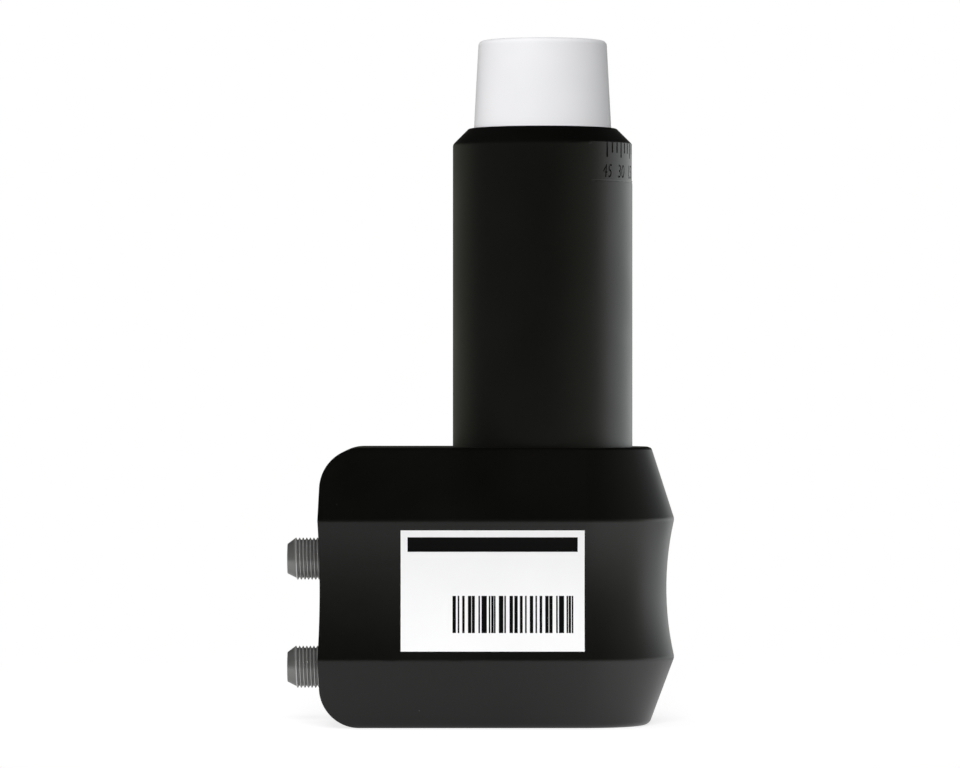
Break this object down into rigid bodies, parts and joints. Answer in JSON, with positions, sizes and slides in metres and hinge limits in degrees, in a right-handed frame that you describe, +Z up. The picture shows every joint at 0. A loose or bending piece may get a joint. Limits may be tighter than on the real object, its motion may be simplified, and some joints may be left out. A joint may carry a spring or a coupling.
{
  "type": "satellite low-noise block downconverter",
  "caption": "Upright satellite LNB: pale tapered feed cap on a round black clamp neck, over a ridged black housing with threaded F outputs stacked on its left end.",
  "frame": {"origin": "feed axis at the foot of the housing", "axes": "+Z up the feed axis towards the dish, -X towards the outputs, -Y towards the labelled side"},
  "size_m": [0.0858, 0.0528, 0.1518],
  "materials": {
    "housing_black": "fine moulded grain, satin",
    "cap_white": "smooth moulded plastic",
    "label_white": "blank coated sticker",
    "cast_metal": "as cast",
    "nickel_plate": "dull nickel plate",
    "contact_brass": "drawn wire",
    "seal_rubber": "matt",
    "insulator_white": "turned",
    "rod_plastic": "moulded",
    "board_green": "solder resist",
    "chip_black": "moulded package",
    "capacitor_ceramic": "fired",
    "crystal_steel": "drawn can",
    "screw_steel": "zinc plated",
    "absorber_grey": "loaded elastomer sheet"
  },
  "bodies": {
    "root": {"front_shell": "housing_black", "back_shell": "housing_black", "neck_sleeve": "housing_black", "feed_cap": "cap_white", "label": "label_white", "waveguide_casting": "cast_metal", "casting_lid": "cast_metal", "lid_gasket": "seal_rubber", "lid_screws": "screw_steel", "absorber_pad": "absorber_grey", "dielectric_rod": "rod_plastic", "cap_seal": "seal_rubber", "horizontal_probe": "contact_brass", "vertical_probe": "contact_brass", "probe_bushes": "insulator_white", "circuit_board": "board_green", "amplifier_transistors": "chip_black", "converter_chip": "chip_black", "quartz_crystal": "crystal_steel", "voltage_regulators": "chip_black", "chip_capacitors": "capacitor_ceramic", "upper_connector": "nickel_plate", "lower_connector": "nickel_plate", "upper_insulator": "insulator_white", "lower_insulator": "insulator_white", "upper_contact": "contact_brass", "lower_contact": "contact_brass", "upper_connector_seal": "seal_rubber", "lower_connector_seal": "seal_rubber"}
  },
  "joints": []
}
